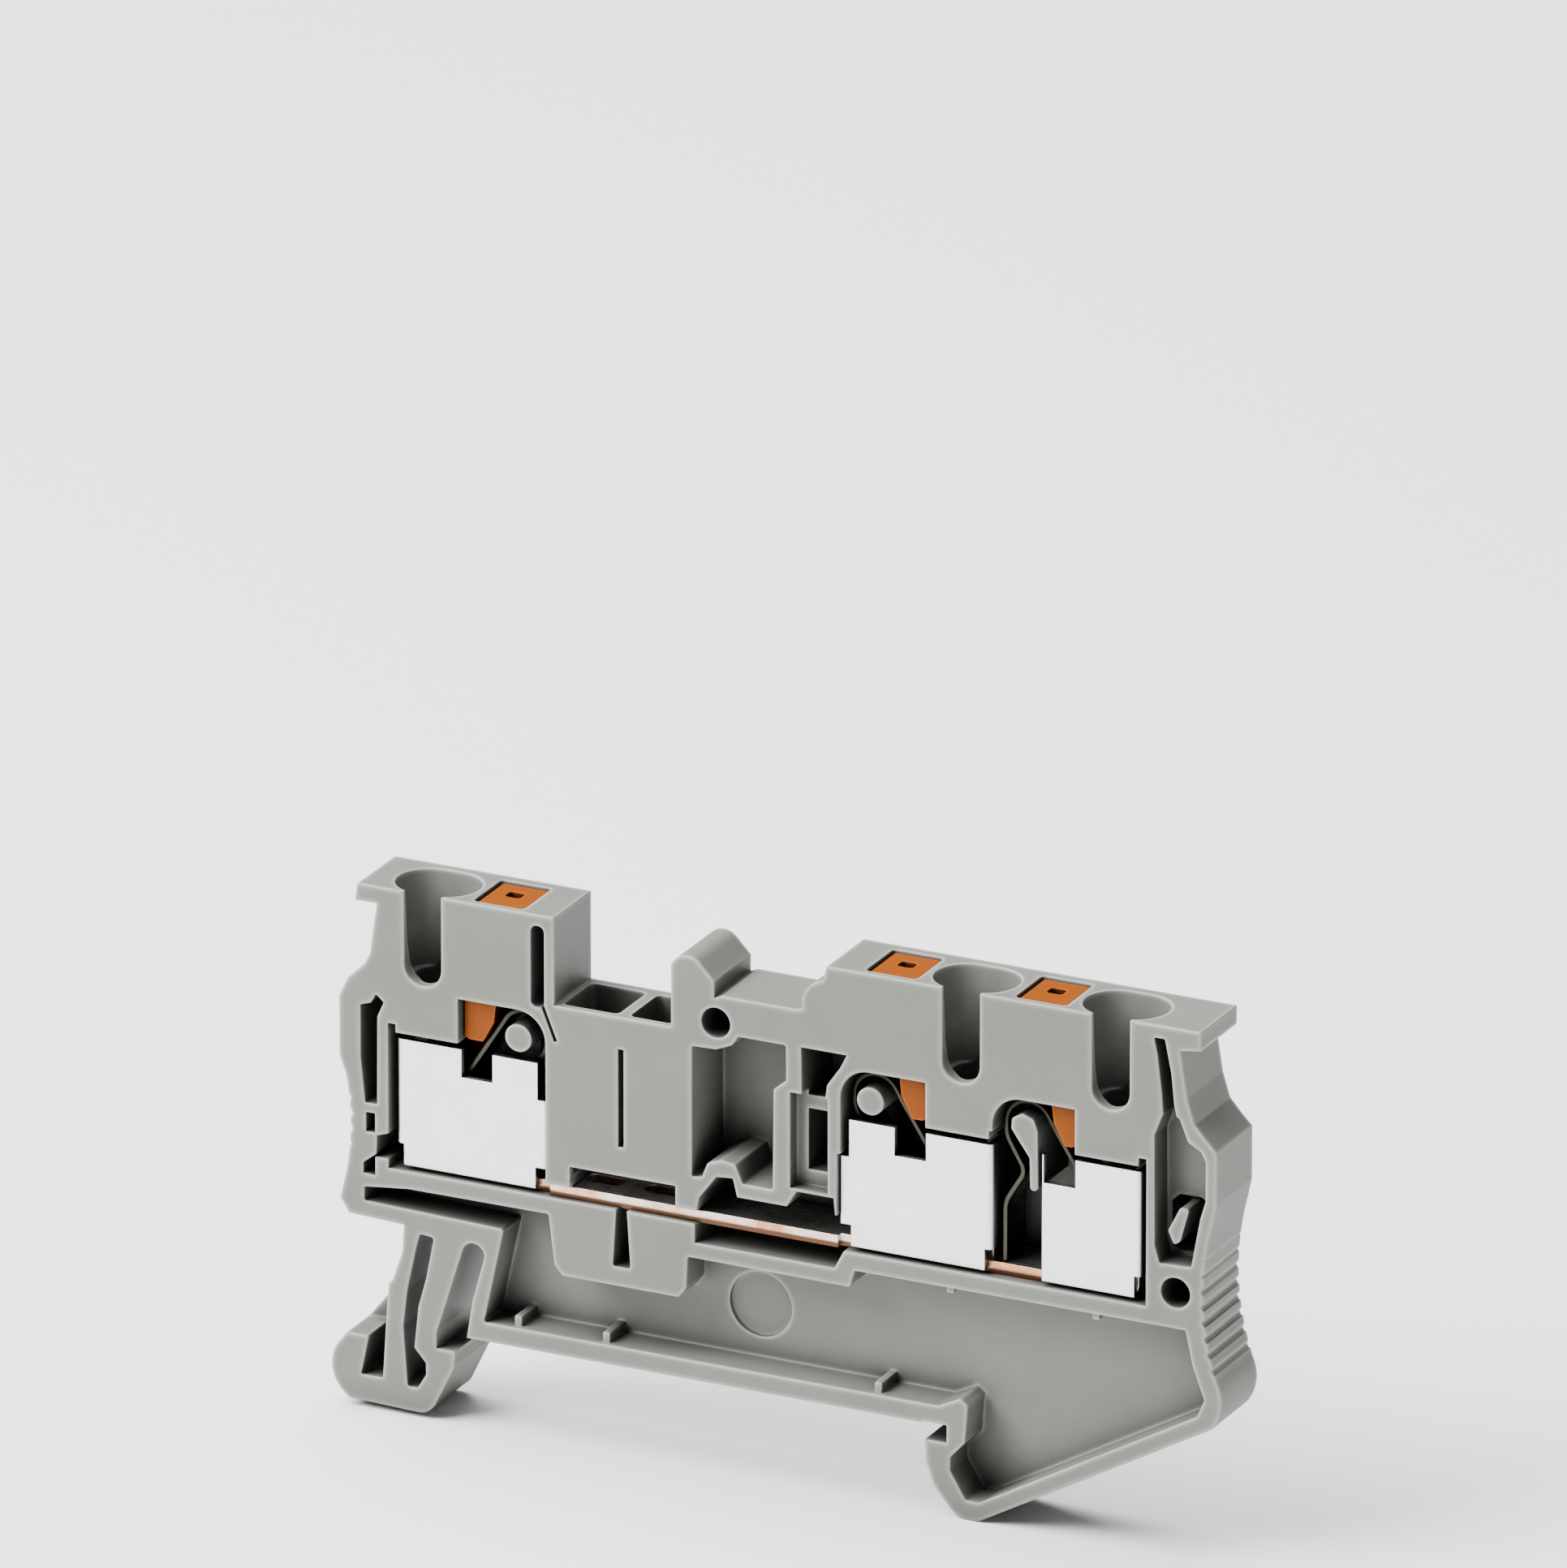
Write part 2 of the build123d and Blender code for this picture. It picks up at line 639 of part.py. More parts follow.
def small_ribs():
    """Add the spring pins, the rib behind the right spring and the short web ribs."""
    shapes = []
    for unit in ("left", "middle"):
        with BuildSketch(mode=Mode.PRIVATE) as pin:
            with Locations((along(unit, LOOP_AXIS_US[unit]), LOOP_AXIS_Z)):
                Circle(LOOP_PIN_RADIUS)
        shapes.append(pin.sketch)
    drop_x = along("right", LOOP_AXIS_US["right"])
    drop = [
        (drop_x - 0.75, LOOP_AXIS_Z - 0.1),
        (drop_x - 0.7, LOOP_AXIS_Z + 0.6),
        (drop_x, LOOP_AXIS_Z + 1.0),
        (drop_x + 0.75, LOOP_AXIS_Z + 0.7),
        (drop_x + 1.0, LOOP_AXIS_Z),
        (drop_x + 1.05, 16.6),
        (drop_x + 0.55, 16.6),
        (drop_x + 0.5, 18.7),
    ]
    tear = offset_points(RIGHT_X, [
        (-3.3, 15.6),
        (-2.9, 14.7),
        (-2.5, 15.0),
        (-1.9, 17.2),
        (-2.5, 17.2),
    ])
    shapes.append(closed_shape(drop, 0.25))
    shapes.append(closed_shape(tear, 0.15))
    ribs(BACK_Y, CAVITY_DEPTH - 0.2, *shapes)
    web_y = -THICKNESS / 2 + WEB_DEPTH
    seat_ribs = []
    for x in (5.3 - RAIL_SIDE, 11.4 - RAIL_SIDE, RAIL_SIDE - 5.1):
        seat_ribs.append(box_shape(x, x + RIB_WIDTH, SEAT_WALL - 0.3, SEAT_WALL + RIB_REACH))
    ledge_ribs = []
    for x in (along("middle", 1.1), along("right", 1.35)):
        ledge_ribs.append(box_shape(x, x + RIB_WIDTH, BAR_Z - 1.0 - RIB_REACH, BAR_Z - 0.9))
    ribs(web_y, WEB_DEPTH - 0.4, *seat_ribs, *ledge_ribs)


with BuildPart() as housing:
    extrude(housing_outline(), amount=-THICKNESS)
    grip_grooves(RIGHT_X + 0.05, GRIP_LOW_Z - 2.9, 10, -0.75)
    grip_grooves(LEFT_X + 0.25, GRIP_LOW_Z + 0.8, 6, 0.35)
    for unit_name in ENTRY_XS:
        clamping_cavity(unit_name)
        conductor_entry(unit_name)
        button_well(unit_name)
    bridge_shafts()
    pockets(CAVITY_DEPTH, *bar_channel_shapes(), *core_pocket_shapes())
    pockets(SLOT_DEPTH, *side_slot_shapes())
    shallow_shapes()
    web_recesses()
    foot_slots()
    small_ribs()
    for hole_x, hole_z, hole_depth in LOCATORS:
        with BuildSketch(OPEN_FACE) as locating_hole:
            with Locations((hole_x, hole_z)):
                Circle(LOCATOR_RADIUS)
        extrude(amount=-hole_depth, mode=Mode.SUBTRACT)
        with BuildSketch(CLOSED_FACE) as locating_peg:
            with Locations((hole_x, hole_z)):
                Circle(LOCATOR_RADIUS - PEG_GAP)
        extrude(amount=-PEG_LENGTH)


# Current bar: one strip, turned up at both ends, with a tab lanced up for the middle entry
BAR_BACK_Y = BACK_Y - (CAGE_WIDTH - BAR_NARROW) / 2
UPRIGHT_U = -CAGE_OUT + CAGE_SHEET

with BuildPart() as current_bar:
    left_end = along("left", UPRIGHT_U)
    right_end = along("right", UPRIGHT_U)
    with BuildSketch(Plane.XZ.offset(-BACK_Y)) as bar_profile:
        with BuildLine():
            Polyline(
                (left_end, BAR_UPRIGHT_Z),
                (left_end, BAR_Z),
                (right_end, BAR_Z),
                (right_end, BAR_UPRIGHT_Z),
                (right_end - BAR_SHEET, BAR_UPRIGHT_Z),
                (right_end - BAR_SHEET, BAR_TOP_Z),
                (left_end + BAR_SHEET, BAR_TOP_Z),
                (left_end + BAR_SHEET, BAR_UPRIGHT_Z),
                close=True,
            )
        make_face()
        fillet(bar_profile.vertices().group_by(Axis.Y)[0], BAR_SHEET + 0.2)
        inner_bends = bar_profile.vertices().filter_by_position(
            Axis.Y, BAR_TOP_Z - 0.01, BAR_TOP_Z + 0.01
        )
        fillet(inner_bends, 0.2)
    extrude(amount=BAR_WIDTH)
    wide_left = along("left", CAVITY_IN) + 0.1
    wide_right = along("middle", CAVITY_IN) - 0.1
    with BuildSketch(Plane.XY.offset(BAR_Z)) as bar_plan:
        with BuildLine():
            Polyline(
                (left_end, BAR_BACK_Y - BAR_NARROW),
                (wide_left, BAR_BACK_Y - BAR_NARROW),
                (wide_left, BACK_Y - BAR_WIDTH),
                (wide_right, BACK_Y - BAR_WIDTH),
                (wide_right, BAR_BACK_Y - BAR_NARROW),
                (right_end, BAR_BACK_Y - BAR_NARROW),
                (right_end, BAR_BACK_Y),
                (wide_right, BAR_BACK_Y),
                (wide_right, BACK_Y),
                (wide_left, BACK_Y),
                (wide_left, BAR_BACK_Y),
                (left_end, BAR_BACK_Y),
                close=True,
            )
        make_face()
    extrude(amount=BAR_UPRIGHT_Z - BAR_Z, mode=Mode.INTERSECT)
    tab_x = along("middle", UPRIGHT_U) - BAR_SHEET
    tab_y = BAR_BACK_Y - BAR_NARROW / 2
    window = BAR_UPRIGHT_Z - BAR_TOP_Z
    with BuildSketch(Plane.XY.offset(BAR_Z)) as lanced_window:
        with Locations((tab_x - window / 2, tab_y)):
            Rectangle(window, BAR_TAB_WIDTH)
        with Locations((CHANNEL_LEFT_X + 2.35, tab_y), (CHANNEL_RIGHT_X - 1.62, tab_y)):
            RectangleRounded(2.6, 1.2, 0.5)
    extrude(amount=BAR_SHEET, mode=Mode.SUBTRACT)
    with BuildSketch(Plane.XY.offset(BAR_Z)) as lanced_tab:
        with Locations((tab_x + BAR_SHEET / 2, tab_y)):
            Rectangle(BAR_SHEET, BAR_TAB_WIDTH)
    extrude(amount=BAR_UPRIGHT_Z - BAR_Z)


def cage_cut(unit, u_low, u_high, z_low, z_high):
    """Face of a rectangle cut from a cage, between two distances from the conductor."""
    x_low, x_high = sorted((along(unit, u_low), along(unit, u_high)))
    return box_shape(x_low, x_high, z_low, z_high)


def make_cage(unit, inner_reach):
    """Bent sheet round one clamping point: front plate, end wall and shorter back plate."""
    front_y = BACK_Y - CAGE_WIDTH
    back_reach = inner_reach - CAGE_NOTCH_FAR_U + CAGE_NOTCH_NEAR_U
    above = CAGE_TOP_Z + 1
    below = CAGE_BOTTOM_Z - 1
    cuts = [
        cage_cut(unit, CAGE_NOTCH_NEAR_U, CAGE_NOTCH_FAR_U, CAGE_NOTCH_Z, above),
        cage_cut(unit, -CAGE_OUT - 1, -CAGE_OUT + 0.5, below, CAGE_BOTTOM_Z + CAGE_STEP),
    ]
    if inner_reach > CAGE_NOTCH_FAR_U + 1:
        cuts.append(cage_cut(unit, inner_reach - 0.55, inner_reach + 1, CAGE_SHOULDER_Z, above))
        cuts.append(cage_cut(unit, inner_reach - 0.7, inner_reach + 1, below, CAGE_BOTTOM_Z + CAGE_STEP))
    with BuildPart() as cage:
        with BuildSketch(Plane.XY.offset(CAGE_BOTTOM_Z)) as plan:
            with BuildLine():
                Polyline(
                    (along(unit, inner_reach), front_y),
                    (along(unit, -CAGE_OUT), front_y),
                    (along(unit, -CAGE_OUT), BACK_Y),
                    (along(unit, back_reach), BACK_Y),
                    (along(unit, back_reach), BACK_Y - CAGE_SHEET),
                    (along(unit, -CAGE_OUT + CAGE_SHEET), BACK_Y - CAGE_SHEET),
                    (along(unit, -CAGE_OUT + CAGE_SHEET), front_y + CAGE_SHEET),
                    (along(unit, inner_reach), front_y + CAGE_SHEET),
                    close=True,
                )
            make_face()
            outer_side = SPRING_SIDES[unit]
            corners = plan.vertices().group_by(Axis.X)[0 if outer_side > 0 else -1]
            fillet(corners, CAGE_SHEET * 0.9)
        extrude(amount=CAGE_TOP_Z - CAGE_BOTTOM_Z)
        with BuildSketch(Plane.XZ.offset(-BACK_Y)) as cut_outs:
            for cut in cuts:
                add(cut)
        extrude(cut_outs.sketch, amount=CAGE_WIDTH, mode=Mode.SUBTRACT)
        ends = sorted((along(unit, -CAGE_OUT - 1), along(unit, inner_reach + 1)))
        with BuildSketch(Plane.YZ.offset(ends[0])) as bar_gate:
            with Locations(((front_y + BACK_Y) / 2, (CAGE_BOTTOM_Z + BAR_TOP_Z) / 2)):
                Rectangle(CAGE_WIDTH - 2 * CAGE_SHEET, BAR_TOP_Z - CAGE_BOTTOM_Z + 0.2)
        extrude(amount=ends[1] - ends[0], mode=Mode.SUBTRACT)
    return cage.part


def leaf_line(unit):
    """Start of the clamping leg at the loop and its end beside the bar's upright."""
    centre = Vector(LOOP_AXIS_US[unit], LOOP_AXIS_Z)
    start = centre + Vector(0, LOOP_RADIUS).rotate(Axis.Z, LEG_ANGLE)
    slope = Vector(1, 0).rotate(Axis.Z, LEG_ANGLE)
    run = (start.X - UPRIGHT_U - BAR_SHEET - LEAF / 2 - 0.05) / slope.X
    return start, start - slope * run


def leaf_face_u(unit, z):
    """Distance from the conductor's axis to the clamping leg's upper face at one height."""
    start, end = leaf_line(unit)
    slope = (start - end).normalized()
    return start.X - (start.Y - z) * slope.X / slope.Y - LEAF / 2 / slope.Y


def make_spring(unit):
    """Leaf spring: a standing leg with a bulge, a loop round the pin and the clamping leg."""
    leg_start, leg_end = leaf_line(unit)
    loop_u = LOOP_AXIS_US[unit]
    loop_side_u = loop_u + LOOP_RADIUS
    points = [
        (LEG_STAND_U, BAR_TOP_Z + 0.1),
        (LEG_STAND_U, 15.2),
        (LEG_STAND_U - LEG_BULGE, LEG_BULGE_Z),
        (loop_side_u, LOOP_AXIS_Z - 0.9),
        (loop_side_u, LOOP_AXIS_Z),
        (leg_start.X, leg_start.Y),
        (leg_end.X, leg_end.Y),
    ]
    foot, knee, bulge, neck, side, start, tip = unit_points(unit, points)
    top = (along(unit, loop_u), LOOP_AXIS_Z + LOOP_RADIUS)
    with BuildPart() as spring:
        with BuildSketch(Plane.XZ.offset(-(BAR_BACK_Y - 0.2))) as strip:
            with BuildLine():
                FilletPolyline(foot, knee, bulge, neck, side, radius=(0.9, 0.9, 0.9))
                ThreePointArc(side, top, start)
                Line(start, tip)
            trace(line_width=LEAF)
        extrude(amount=LEAF_WIDTH)
    return spring.part


def make_button(unit):
    """Push button: a guided head with a screwdriver dimple and a nose that bears on the leaf."""
    near = WELL_NEAR_U + BUTTON_GAP
    far = WELL_FAR_U - BUTTON_GAP
    front_y = -THICKNESS / 2 + WELL_FRONT + BUTTON_GAP
    depth = WELL_DEPTH - 2 * BUTTON_GAP
    shoulder_z = LOOP_AXIS_Z + LOOP_ROOM - 0.12
    nose_near = NOSE_NEAR_U + 0.2
    nose_far = leaf_face_u(unit, NOSE_Z) - BUTTON_GAP
    side_view = unit_points(unit, [
        (near, BUTTON_TOP_Z),
        (near, shoulder_z),
        (nose_near, shoulder_z),
        (nose_near, NOSE_Z + 0.2),
        (nose_near + 0.3, NOSE_Z),
        (nose_far, NOSE_Z),
        (leaf_face_u(unit, NOSE_Z + 1.4) - 2 * BUTTON_GAP, NOSE_Z + 1.4),
        (leaf_face_u(unit, NOSE_Z + 1.4) - BUTTON_GAP, shoulder_z),
        (far, BUTTON_TOP_Z - 4.0),
        (far, BUTTON_TOP_Z),
    ])
    with BuildPart() as button:
        with BuildSketch(Plane.XZ.offset(-(front_y + depth))) as profile:
            with BuildLine():
                Polyline(*side_view, close=True)
            make_face()
            fillet(profile.vertices(), corner_radius(side_view, 0.12))
        extrude(amount=depth)
        with BuildSketch(Plane.XY.offset(BUTTON_TOP_Z)) as dimple:
            with Locations((along(unit, (near + far) / 2), front_y + depth * 0.6)):
                RectangleRounded(1.1, 0.9, 0.25)
        extrude(amount=-0.7, mode=Mode.SUBTRACT)
    return button.part


os.makedirs("parts", exist_ok=True)

housing.part.label = "housing"
export_step(housing.part, "parts/housing.step")
current_bar.part.label = "current_bar"
export_step(current_bar.part, "parts/current_bar.step")

# The right cage's plates stop short of its spring, which stands in the gap beside the middle cage
CAGE_REACHES = {"left": CAGE_IN, "middle": CAGE_IN, "right": 4.75}

for unit_name in ENTRY_XS:
    clamp_cage = make_cage(unit_name, CAGE_REACHES[unit_name])
    clamp_cage.label = unit_name + "_clamp_cage"
    export_step(clamp_cage, "parts/" + clamp_cage.label + ".step")
    clamp_spring = make_spring(unit_name)
    clamp_spring.label = unit_name + "_clamp_spring"
    export_step(clamp_spring, "parts/" + clamp_spring.label + ".step")
    push_button = make_button(unit_name)
    push_button.label = unit_name + "_push_button"
    export_step(push_button, "parts/" + push_button.label + ".step")
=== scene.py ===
import math

import bmesh
import bpy
from bpy.props import FloatProperty, FloatVectorProperty, IntProperty, PointerProperty
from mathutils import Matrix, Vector


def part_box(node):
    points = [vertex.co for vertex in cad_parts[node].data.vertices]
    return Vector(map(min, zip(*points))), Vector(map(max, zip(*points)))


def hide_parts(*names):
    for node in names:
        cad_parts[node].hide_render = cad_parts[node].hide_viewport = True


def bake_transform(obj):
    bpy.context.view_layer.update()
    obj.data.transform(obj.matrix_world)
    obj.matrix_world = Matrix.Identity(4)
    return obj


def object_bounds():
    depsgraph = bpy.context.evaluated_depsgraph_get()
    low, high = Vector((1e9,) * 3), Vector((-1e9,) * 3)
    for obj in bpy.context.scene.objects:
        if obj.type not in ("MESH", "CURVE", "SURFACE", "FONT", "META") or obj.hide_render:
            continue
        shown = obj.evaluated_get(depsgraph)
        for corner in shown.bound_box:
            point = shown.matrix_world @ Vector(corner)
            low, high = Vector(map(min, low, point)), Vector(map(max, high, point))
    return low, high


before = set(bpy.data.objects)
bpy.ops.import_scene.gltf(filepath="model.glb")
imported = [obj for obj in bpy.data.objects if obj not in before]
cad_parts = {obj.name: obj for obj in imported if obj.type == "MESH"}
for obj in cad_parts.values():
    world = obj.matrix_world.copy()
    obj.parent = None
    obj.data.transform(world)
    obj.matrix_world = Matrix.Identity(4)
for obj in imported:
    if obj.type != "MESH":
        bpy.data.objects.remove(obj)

bl_info = {
    "name": "Feed-through terminal block",
    "version": (1, 0, 0),
    "blender": (4, 5, 0),
    "location": "View3D > Sidebar > Terminal Block",
    "description": "Dresses a rail-mounted terminal block and sets up its studio",
    "category": "Object",
}

MM = 0.001
CAD_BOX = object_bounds()
UNITS = ("left", "middle", "right")

# Which way along x each spring's standing leg lies from the middle of its loop
SPRING_SIDES = {"left": 1, "middle": -1, "right": -1}
# Where each standing leg rises beside its cage's open end, and the middle of each loop
LEG_XS = {"left": -10.8 * MM, "middle": 10.9 * MM, "right": 21.05 * MM}
LOOP_XS = {"left": -11.9 * MM, "middle": 12.25 * MM, "right": 22.6 * MM}
# The standing leg runs straight for this length under the loop
LOOP_RUN_IN = 0.9 * MM
# The clamping leg has this many pieces
LEG_PIECES = 16
# How far the bends of the standing leg are rounded, and in how many steps
BEND_ROUNDING = 0.45 * MM
BEND_STEPS = 5
# Edges of the strip that turn by more than this are rolled over, so far and in so many steps
ROLLED_ANGLE = math.radians(50)
ROLLED_EDGE = 0.05 * MM
ROLLED_STEPS = 2
# Gentler turns than this are shaded smooth
SMOOTH_ANGLE = math.radians(35)
# An edge of the spring is picked by its place, within this distance
TOUCH = 0.001 * MM
# The end of the loop was turned there, so it is picked less closely
LOOP_TOUCH = 0.02 * MM

# Heights over the bar's underside between which its cut edges go from painted shade below to their
# paler colours above
SHADED_EDGE_BELOW = 0.28 * MM
UNSHADED_EDGE_ABOVE = 0.42 * MM

# A noise texture's values lie mostly in this range
NOISE_RANGE = {"From Min": 0.3, "From Max": 0.7}
# Cosine of the turn up to which a surface still counts as flat
STILL_FLAT = 0.999
# Samples that rounded edges and dark recesses take at each point
NODE_SAMPLES = 8

# The soft lights face this point, in metres
BLOCK_MIDDLE = Vector((0.0, 0.0, 0.012))
# Each soft light's place from that point, and the side of its square, in metres
SOFT_LIGHTS = {
    "key": (Vector((-0.38, -0.34, 0.5)), 0.45),
    "top": (Vector((-0.16, 0.1, 0.68)), 0.7),
    "fill": (Vector((0.6, -0.38, 0.26)), 0.5),
}
# The floor's side in metres
FLOOR_SIDE = 6.0
# The camera's sensor in millimetres, and the nearest point that it sees, in metres
SENSOR_WIDTH = 36.0
NEAREST_SEEN = 0.05


def hex_to_linear(code):
    """Scene-linear red, green, blue and alpha of an sRGB hex colour."""
    channels = [int(code[i:i + 2], 16) / 255 for i in (1, 3, 5)]
    linear = [c / 12.92 if c <= 0.04045 else ((c + 0.055) / 1.055) ** 2.4 for c in channels]
    return (*linear, 1.0)


def colour_setting(name, description, code):
    """Colour property whose default is an sRGB hex colour."""
    return FloatVectorProperty(
        name=name, description=description, subtype="COLOR", size=4, min=0.0, max=1.0,
        default=hex_to_linear(code),
    )


class HousingSettings(bpy.types.PropertyGroup):
    """Finish of the grey moulding"""

    face_colour: colour_setting("Face colour", "Grey of the moulded faces", "#6C6D68")
    # Painted highlight: paler grey on rims and narrow walls
    rim_highlight_colour: colour_setting("Rim colour", "Grey of the rims and narrow walls", "#888984")
    # Painted highlight: palest grey on the edges
    edge_highlight_colour: colour_setting("Edge colour", "Paler grey of the burnished edges", "#A6A7A2")
    # Painted shade: darker grey in recesses
    recess_shade_colour: colour_setting("Recess colour", "Grey where little light reaches", "#32322F")
    roughness: FloatProperty(
        name="Roughness", description="How dull the moulded skin is", default=0.52, min=0.0, max=1.0
    )
    sheen: FloatProperty(
        name="Sheen", description="How strongly the skin mirrors light", default=0.4, min=0.0, max=1.0
    )
    grain: FloatProperty(
        name="Grain", description="Size of the spark-eroded mould texture", default=0.12 * MM,
        unit="LENGTH",
    )
    edge_width: FloatProperty(
        name="Edge width", description="Width of the moulding's softened edges", default=0.24 * MM,
        unit="LENGTH",
    )
    # How far from an edge the painted highlight of the rims reaches
    rim_highlight_width: FloatProperty(
        name="Rim width", description="How far from an edge the moulding is paler", default=0.6 * MM,
        unit="LENGTH",
    )


class ButtonSettings(bpy.types.PropertyGroup):
    """Finish of the push buttons"""

    face_colour: colour_setting("Face colour", "Orange of the buttons", "#803E00")
    # Painted highlight: paler orange on rims and narrow walls
    rim_highlight_colour: colour_setting("Rim colour", "Orange beside the edges", "#8D4200")
    # Painted highlight: palest orange on the edges
    edge_highlight_colour: colour_setting("Edge colour", "Paler orange of the rubbed edges", "#B45408")
    # Painted shade: darker orange in recesses
    recess_shade_colour: colour_setting("Recess colour", "Orange where little light reaches", "#2C0E00")
    roughness: FloatProperty(
        name="Roughness", description="How dull the buttons are", default=0.42, min=0.0, max=1.0
    )
    sheen: FloatProperty(
        name="Sheen", description="How strongly the buttons mirror light", default=0.12,
        min=0.0, max=1.0,
    )
    grain: FloatProperty(
        name="Grain", description="Size of the mould texture", default=0.1 * MM, unit="LENGTH"
    )
    edge_width: FloatProperty(
        name="Edge width", description="Width of the buttons' softened edges", default=0.16 * MM,
        unit="LENGTH",
    )
    # How far from an edge the painted highlight of the rims reaches
    rim_highlight_width: FloatProperty(
        name="Rim width", description="How far from an edge the buttons are paler", default=0.3 * MM,
        unit="LENGTH",
    )


class MetalSettings(bpy.types.PropertyGroup):
    """Finishes of the metal parts"""

    cage_colour: colour_setting("Cage colour", "Bright plating of the clamp cages", "#FCFCFB")
    spring_colour: colour_setting("Spring colour", "Hardened strip of the springs", "#48463E")
    tin_colour: colour_setting("Plating colour", "Tin plating of the current bar", "#CFCDC9")
    dull_tin_colour: colour_setting("Dull plating colour", "Tin between its rolling lines", "#B5B3AF")
    # Painted highlight: pale patches on the bar's cut edges
    cut_edge_highlight_colour: colour_setting("Burnished colour", "Tin smeared over the cut edges", "#F3E6DC")
    # Painted shade on the lower part of the bar's cut edges
    lower_edge_shade_colour: colour_setting("Torn colour", "Rough lower part of the bar's cut edges", "#5C4130")
    copper_colour: colour_setting("Copper colour", "Bare copper on the bar's cut edges", "#CF9468")
    rolling_lines: FloatProperty(
        name="Rolling lines", description="Spacing of the rolled sheet's fine lines", default=0.16 * MM,
        unit="LENGTH",
    )
    edge_width: FloatProperty(
        name="Edge width", description="Width of the sheet's rolled-over edges", default=0.1 * MM,
        unit="LENGTH",
    )


class SpringSettings(bpy.types.PropertyGroup):
    """Sizes of the leaf springs"""

    leaf: FloatProperty(
        name="Leaf thickness", description="Thickness of the spring strip", default=0.3 * MM,
        unit="LENGTH",
    )
    loop_radius: FloatProperty(
        name="Loop radius", description="Radius of the strip's middle in the loop", default=1.5 * MM,
        unit="LENGTH",
    )
    loop_height: FloatProperty(
        name="Loop height", description="Height of the loop's axis over the rail seat",
        default=20.55 * MM, unit="LENGTH",
    )
    leg_angle: FloatProperty(
        name="Leg angle", description="Slope of the clamping leg", default=math.radians(57.0),
        subtype="ANGLE",
    )
    knee_height: FloatProperty(
        name="Knee height", description="Where the standing leg starts to bend", default=15.2 * MM,
        unit="LENGTH",
    )
    bulge: FloatProperty(
        name="Bulge", description="How far the standing leg bends towards the conductor",
        default=1.35 * MM, unit="LENGTH",
    )
    bulge_height: FloatProperty(
        name="Bulge height", description="Height of the furthest point of the bulge", default=17.4 * MM,
        unit="LENGTH",
    )
    loop_steps: IntProperty(
        name="Loop steps", description="Facets round the loop", default=24, min=8, max=64
    )


class StageSettings(bpy.types.PropertyGroup):
    """Camera, floor and lights"""

    azimuth: FloatProperty(
        name="Azimuth", description="Camera's turn to the right of the open side",
        default=math.radians(26.0), subtype="ANGLE",
    )
    elevation: FloatProperty(
        name="Elevation", description="Camera's height above the horizon",
        default=math.radians(21.0), subtype="ANGLE",
    )
    distance: FloatProperty(
        name="Distance", description="From the camera to the point it looks at", default=1.629,
        unit="LENGTH",
    )
    aim: FloatVectorProperty(
        name="Aim", description="Point that the camera looks at",
        default=(5.15 * MM, 0.0, 39.4 * MM), subtype="TRANSLATION", unit="LENGTH",
    )
    lens: FloatProperty(
        name="Lens", description="Focal length over a 36 mm sensor, in millimetres", default=610.0
    )
    floor_colour: colour_setting("Floor colour", "Pale studio floor", "#F8F8F7")
    room_colour: colour_setting("Room colour", "Colour of the light from all round", "#F3F4F6")
    key_power: FloatProperty(
        name="Key light", description="Power of the soft light at the upper left, in watts",
        default=13.0,
    )
    top_power: FloatProperty(
        name="Top light", description="Power of the soft light overhead and a little left, in watts",
        default=12.0,
    )
    fill_power: FloatProperty(
        name="Fill light", description="Power of the weak soft light at the right, in watts",
        default=0.4,
    )
    room_strength: FloatProperty(
        name="Room light", description="Strength of the light from all round", default=0.14
    )


SETTINGS = {
    "block_housing": HousingSettings,
    "block_buttons": ButtonSettings,
    "block_metals": MetalSettings,
    "block_springs": SpringSettings,
    "block_stage": StageSettings,
}


def add_node(tree, kind, settings=None, links=None):
    """Add a node, set its attributes and its sockets, and link outputs of other nodes to it."""
    node = tree.nodes.new(kind)
    for name, value in (settings or {}).items():
        if isinstance(name, str) and hasattr(node, name):
            setattr(node, name, value)
        else:
            node.inputs[name].default_value = value
    for name, source in (links or {}).items():
        tree.links.new(source, node.inputs[name])
    return node


def new_material(name):
    """Empty node material with its output and a Principled shader."""
    material = bpy.data.materials.new(name)
    material.use_nodes = True
    tree = material.node_tree
    tree.nodes.clear()
    shader = add_node(tree, "ShaderNodeBsdfPrincipled")
    output = add_node(tree, "ShaderNodeOutputMaterial")
    tree.links.new(shader.outputs["BSDF"], output.inputs["Surface"])
    return material, tree, shader


def nearness(tree, rounded, least):
    """Value that grows from 0 on the flats to 1 where the rounded normals have turned enough."""
    flat = add_node(tree, "ShaderNodeNewGeometry")
    turn = add_node(
        tree, "ShaderNodeVectorMath", {"operation": "DOT_PRODUCT"},
        {0: rounded.outputs["Normal"], 1: flat.outputs["Normal"]},
    )
    return add_node(
        tree, "ShaderNodeMapRange", {"From Min": STILL_FLAT, "From Max": least},
        {"Value": turn.outputs["Value"]},
    )


def unshaded_share(tree, reach, closed, opened):
    """Value that is 0 between close walls and 1 in the open; it sets where shade is painted into a
    colour.
    """
    shelter = add_node(tree, "ShaderNodeAmbientOcclusion", {"samples": NODE_SAMPLES, "Distance": reach})
    return add_node(
        tree, "ShaderNodeMapRange",
        {"interpolation_type": "SMOOTHSTEP", "From Min": closed, "From Max": opened},
        {"Value": shelter.outputs["AO"]},
    )


